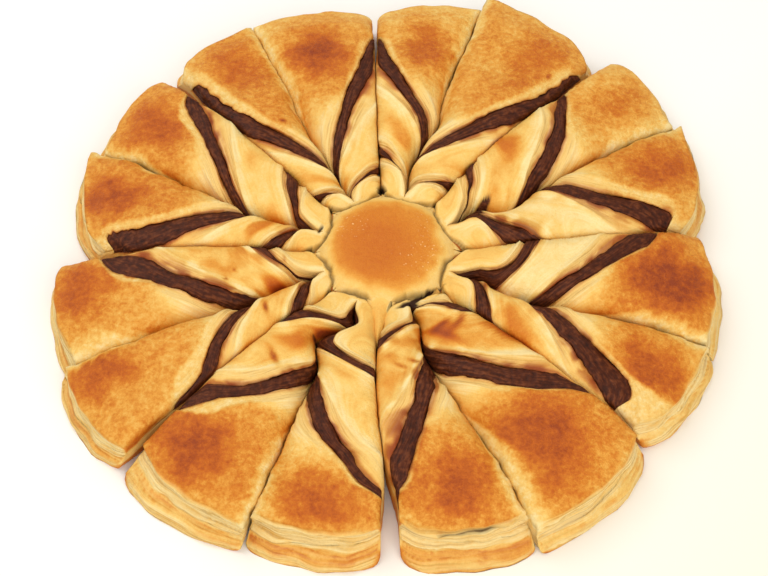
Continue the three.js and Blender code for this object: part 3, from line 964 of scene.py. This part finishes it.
FILLING_SINK = 1.0  # in the middle of a stripe; its edges lie deeper
FILLING_LOWEST = 0.2


def make_filling(name, material):
    """The spread: in each arm a stripe at either cut, joined through the arm and closed at both ends."""
    parts = MeshParts()
    share = np.linspace(1, -1, STRIPE_COLUMNS + 1)
    stripes = np.concatenate([share, share])
    for arm in ARMS:
        r = np.linspace(HUB_RADIUS, FILLING_REACH[arm.index] - 0.01, FILLING_STATIONS)[:, None]
        half = np.arcsin(np.clip(arm.filling_half(r) / arm.layer_measure(r), 0.002, 0.5))
        seam = half * share
        angles = np.concatenate([(math.pi + seam)[:, ::-1], seam[:, ::-1]], axis=1)
        beside = np.abs(arm.shares(r, angles)[0])
        sink = (FILLING_SINK + 0.9 * stripes**4) * mix(1, 0.25, smooth_step(beside, 0.85, 1))
        across, up = arm.shares(r, angles, sink * smooth_step(r, HUB_RADIUS, HUB_BLEND))
        base = arm.spot(r, across, up)
        normals = surface_normals(base, -arm.side)
        flow = np.stack([r * 0.12 + arm.index * 7 + 0 * angles, 2.2 * stripes + 0 * r, 0 * angles], axis=-1)
        lift = 0.35 * field(base, "spread") + 0.25 * noise(flow, 42)
        points = base + normals * (lift * smooth_step(r, HUB_RADIUS, RELIEF_START))[..., None]
        points[..., 2] = np.maximum(points[..., 2], FILLING_LOWEST)
        outwards = arm.side > 0
        parts.add_grid(points, {"along": r, "layer": 3 * stripes}, not outwards, closed=True)
        for row, facing in ((0, outwards), (-1, not outwards)):
            ends = np.stack([points[row, :STRIPE_COLUMNS + 1], points[row, :STRIPE_COLUMNS:-1]])
            parts.add_grid(ends, {"along": 0.0, "layer": 0.0}, facing)
    return parts.build(name, material)


def screen_colour(rgb):
    """A colour as it looks on screen, in steps of 255, as a linear colour."""
    shares = np.array(rgb) / 255
    linear = np.where(shares <= 0.04045, shares / 12.92, ((shares + 0.055) / 1.055) ** 2.4)
    return (*linear.tolist(), 1)


BUMP_DISTANCE = 1 * MM


class Nodes:
    """A new material and its nodes, made by short calls."""

    def __init__(self, name):
        self.material = bpy.data.materials.new(name)
        self.material.use_nodes = True
        self.tree = self.material.node_tree
        self.shader = self.tree.nodes["Principled BSDF"]
        self.place = self.make("ShaderNodeTexCoord").outputs["Object"]

    def set(self, socket, value):
        """Links a socket to an output, or gives it a value."""
        if isinstance(value, bpy.types.NodeSocket):
            self.tree.links.new(value, socket)
        else:
            socket.default_value = value

    def finish(self, name, value):
        self.set(self.shader.inputs[name], value)

    def make(self, kind, inputs=None, **settings):
        made = self.tree.nodes.new(kind)
        for name, value in settings.items():
            setattr(made, name, value)
        for name, value in (inputs or {}).items():
            self.set(made.inputs[name], value)
        return made

    def attribute(self, name):
        return self.make("ShaderNodeAttribute", attribute_name=name).outputs["Fac"]

    def calculate(self, operation, a, b, clamped=False):
        made = self.make("ShaderNodeMath", {0: a, 1: b}, operation=operation, use_clamp=clamped)
        return made.outputs[0]

    def plus(self, a, b, clamped=False):
        return self.calculate("ADD", a, b, clamped)

    def minus(self, a, b, clamped=False):
        return self.calculate("SUBTRACT", a, b, clamped)

    def times(self, a, b, clamped=False):
        return self.calculate("MULTIPLY", a, b, clamped)

    def ramp(self, factor, stops):
        made = self.make("ShaderNodeValToRGB", {"Fac": factor})
        elements = made.color_ramp.elements
        while len(elements) < len(stops):
            elements.new(0.5)
        for element, (place, colour) in zip(elements, stops):
            element.position = place
            element.color = screen_colour(colour)
        return made.outputs["Color"]

    def blend(self, factor, low, high):
        return self.make("ShaderNodeMix", {0: factor, 6: low, 7: high}, data_type="RGBA").outputs[2]

    def noise(self, vector, scale, detail, roughness=0.5):
        inputs = {"Vector": vector, "Scale": scale, "Detail": detail, "Roughness": roughness}
        return self.make("ShaderNodeTexNoise", inputs).outputs["Fac"]

    def between(self, value, low, high, start=0.0, end=1.0):
        """From start to end as a value goes from low to high."""
        inputs = {"Value": value, "From Min": low, "From Max": high, "To Min": start, "To Max": end}
        return self.make("ShaderNodeMapRange", inputs).outputs[0]

    def flow(self, stretch):
        """Texture place that runs along an arm and across its layers."""
        places = {"X": self.attribute("along"), "Y": self.attribute("layer")}
        flow = self.make("ShaderNodeCombineXYZ", places).outputs[0]
        return self.make("ShaderNodeVectorMath", {0: flow, 1: stretch}, operation="MULTIPLY").outputs[0]

    def bump(self, height, strength):
        inputs = {"Height": height, "Strength": strength, "Distance": BUMP_DISTANCE}
        self.finish("Normal", self.make("ShaderNodeBump", inputs).outputs[0])


# Colours as they look on screen, by tone where there are stops
BAKE_STOPS = [
    (0.0, (244, 220, 156)), (0.2, (238, 194, 104)), (0.4, (226, 157, 61)), (0.55, (209, 124, 33)),
    (0.7, (194, 99, 22)), (0.85, (172, 79, 18)), (1.0, (144, 60, 22)),
]
LINE_STOPS = [(0.36, (164, 108, 50)), (0.46, (226, 186, 112)), (0.62, (248, 226, 166))]
CHOCOLATE_STOPS = [(0.34, (44, 16, 5)), (0.5, (76, 32, 12)), (0.64, (112, 58, 28))]
# Painted highlight colour, for the glints on the hub
GLINT_COLOUR = (250, 214, 150)
SOAKED_SHADE = (138, 56, 16)
# Painted shade, for creases, openings and cracks
PAINTED_SHADE_COLOUR = (48, 24, 11)
CRAG_SHARE = 0.7
MOTTLE_STRENGTH = 0.6
GRAIN_STRENGTH = 0.14
STREAK_STRENGTH = 0.46
STAIN_STRENGTH = 0.5
LINE_STRENGTH = 0.6


def pastry_tone(nodes, mottle, grain, lines, mottled, stain):
    """Tone of the pastry: its bake with mottling, streaks, stains and grain."""
    crags = nodes.noise(nodes.place, scale=230, detail=3, roughness=0.6)
    spread = nodes.minus(nodes.plus(mottle, nodes.times(crags, CRAG_SHARE)), (1 + CRAG_SHARE) / 2)
    spread = nodes.times(nodes.times(spread, MOTTLE_STRENGTH), mottled)
    smooth_share = nodes.minus(0.9, mottled, clamped=True)
    streak = nodes.times(nodes.minus(lines, 0.5), nodes.times(smooth_share, STREAK_STRENGTH))
    speck = nodes.times(nodes.minus(grain, 0.5), GRAIN_STRENGTH)
    tone = nodes.plus(nodes.plus(nodes.attribute("bake"), spread), streak)
    tone = nodes.plus(tone, nodes.times(stain, STAIN_STRENGTH))
    return nodes.plus(tone, speck, clamped=True)


def pastry_material():
    """Baked pastry: browned crust, pale cut layers, stains, smears, painted glints and painted crease shade.
    """
    nodes = Nodes("baked_pastry")
    edge = nodes.attribute("edge")
    stain = nodes.attribute("stain")
    mottled = nodes.attribute("mottled")
    mottle = nodes.noise(nodes.place, scale=560, detail=6, roughness=0.66)
    grain = nodes.noise(nodes.place, scale=1700, detail=2)
    lines = nodes.noise(nodes.flow((0.06, 1.3, 1)), scale=1.0, detail=4)
    tone = pastry_tone(nodes, mottle, grain, lines, mottled, stain)
    colour = nodes.ramp(tone, BAKE_STOPS)

    # Painted highlights: tiny pale glints on the hub, in the cells of a Voronoi texture
    bubbles = nodes.make("ShaderNodeTexVoronoi", {"Vector": nodes.place, "Scale": 750.0})
    dust = nodes.between(bubbles.outputs["Distance"], 0.34, 0.16)
    dust = nodes.times(dust, nodes.attribute("dusted"))
    dust = nodes.times(dust, nodes.between(mottle, 0.48, 0.6))
    colour = nodes.blend(dust, colour, screen_colour(GLINT_COLOUR))
    colour = nodes.blend(nodes.times(edge, LINE_STRENGTH), colour, nodes.ramp(lines, LINE_STOPS))
    soaked = nodes.times(stain, stain, clamped=True)
    colour = nodes.blend(soaked, colour, screen_colour(SOAKED_SHADE))
    colour = nodes.blend(nodes.attribute("smear"), colour, nodes.ramp(mottle, CHOCOLATE_STOPS))
    # Painted shade: creases, openings and cracks are darkened where shade falls
    colour = nodes.blend(nodes.attribute("crease"), colour, screen_colour(PAINTED_SHADE_COLOUR))
    nodes.finish("Base Color", colour)
    nodes.finish("Roughness", nodes.between(tone, 0.25, 0.85, start=0.6, end=0.42))
    nodes.finish("Specular IOR Level", 0.22)

    relief = nodes.times(mottle, nodes.plus(nodes.times(mottled, 0.9), 0.5))
    relief = nodes.plus(relief, nodes.times(grain, 0.3))
    relief = nodes.plus(relief, nodes.times(nodes.times(lines, edge), 1.2))
    nodes.bump(relief, strength=0.65)
    return nodes.material


def chocolate_material():
    """Chocolate spread, streaked along the arms."""
    nodes = Nodes("chocolate_spread")
    streaks = nodes.noise(nodes.flow((0.16, 1.3, 1)), scale=1.0, detail=5)
    lumps = nodes.noise(nodes.place, scale=500, detail=4)
    shade = nodes.plus(nodes.times(streaks, 0.6), nodes.times(lumps, 0.4))
    nodes.finish("Base Color", nodes.ramp(shade, CHOCOLATE_STOPS))
    nodes.finish("Roughness", 0.5)
    nodes.finish("Specular IOR Level", 0.16)
    nodes.bump(nodes.plus(streaks, lumps), strength=0.6)
    return nodes.material


FLOOR_PALE = (0.93, 0.925, 0.9, 1)
# Painted warm light on the floor
FLOOR_PAINTED_WARM_LIGHT = (0.88, 0.8, 0.66, 1)
FLOOR_HALF = 3.0  # metres


def floor_material():
    """A pale floor, with painted warm light towards the front and right."""
    nodes = Nodes("pale_floor")
    place = nodes.make("ShaderNodeSeparateXYZ", {"Vector": nodes.place}).outputs
    painted_warm_light = nodes.between(nodes.minus(place["X"], place["Y"]), 0.05, 0.4)
    nodes.finish("Base Color", nodes.blend(painted_warm_light, FLOOR_PALE, FLOOR_PAINTED_WARM_LIGHT))
    nodes.finish("Roughness", 0.6)
    nodes.finish("Specular IOR Level", 0.2)
    return nodes.material


def add_floor():
    mesh = bpy.data.meshes.new("floor")
    corners = [(x * FLOOR_HALF, y * FLOOR_HALF, 0) for x, y in ((-1, -1), (1, -1), (1, 1), (-1, 1))]
    mesh.from_pydata(corners, [], [(0, 1, 2, 3)])
    mesh.materials.append(floor_material())
    floor = bpy.data.objects.new("floor", mesh)
    bpy.context.scene.collection.objects.link(floor)


# Lights: name, place and size in metres, power and colour
LIGHTS = [
    ("key", (-0.5, 0.45, 1.1), 1.0, 8.3, (1, 0.98, 0.95)),
    ("fill", (0.3, -0.9, 0.75), 1.2, 9.2, (1, 0.95, 0.87)),
]
SKY_COLOUR = (1, 0.98, 0.95, 1)
SKY_STRENGTH = 0.56


def aim(thing, place, target):
    """Puts a lamp or camera at a place, turned towards a target."""
    thing.location = place
    thing.rotation_euler = (Vector(target) - Vector(place)).to_track_quat("-Z", "Y").to_euler()
    bpy.context.scene.collection.objects.link(thing)


def add_lights():
    for name, place, size, energy, colour in LIGHTS:
        light = bpy.data.lights.new(name, "AREA")
        light.size = size
        light.energy = energy
        light.color = colour
        aim(bpy.data.objects.new(name, light), place, (0, 0, 0))


def add_world():
    world = bpy.data.worlds.new("studio")
    world.use_nodes = True
    background = world.node_tree.nodes["Background"]
    background.inputs["Color"].default_value = SKY_COLOUR
    background.inputs["Strength"].default_value = SKY_STRENGTH
    bpy.context.scene.world = world


CAMERA_PLACE = (-1.18, -422.5, 622.4)
CAMERA_TARGET = (-1.18, -15.49, 7.375)
CAMERA_LENS = 80.4
CAMERA_SENSOR = 36


def add_camera():
    data = bpy.data.cameras.new("camera")
    data.lens = CAMERA_LENS
    data.sensor_width = CAMERA_SENSOR
    camera = bpy.data.objects.new("camera", data)
    aim(camera, Vector(CAMERA_PLACE) * MM, Vector(CAMERA_TARGET) * MM)
    bpy.context.scene.camera = camera


def finish_piece(piece, cad_node):
    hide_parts(cad_node)
    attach(piece, "root")


pastry = pastry_material()
chocolate = chocolate_material()
finish_piece(make_sheet("crust_upper", 1, pastry), "pastry_top")
finish_piece(make_sheet("crust_lower", -1, pastry), "pastry_bottom")
finish_piece(make_filling("chocolate_spread", chocolate), "chocolate_filling")
add_floor()
add_world()
add_lights()
add_camera()
bpy.context.scene.view_settings.view_transform = "Standard"
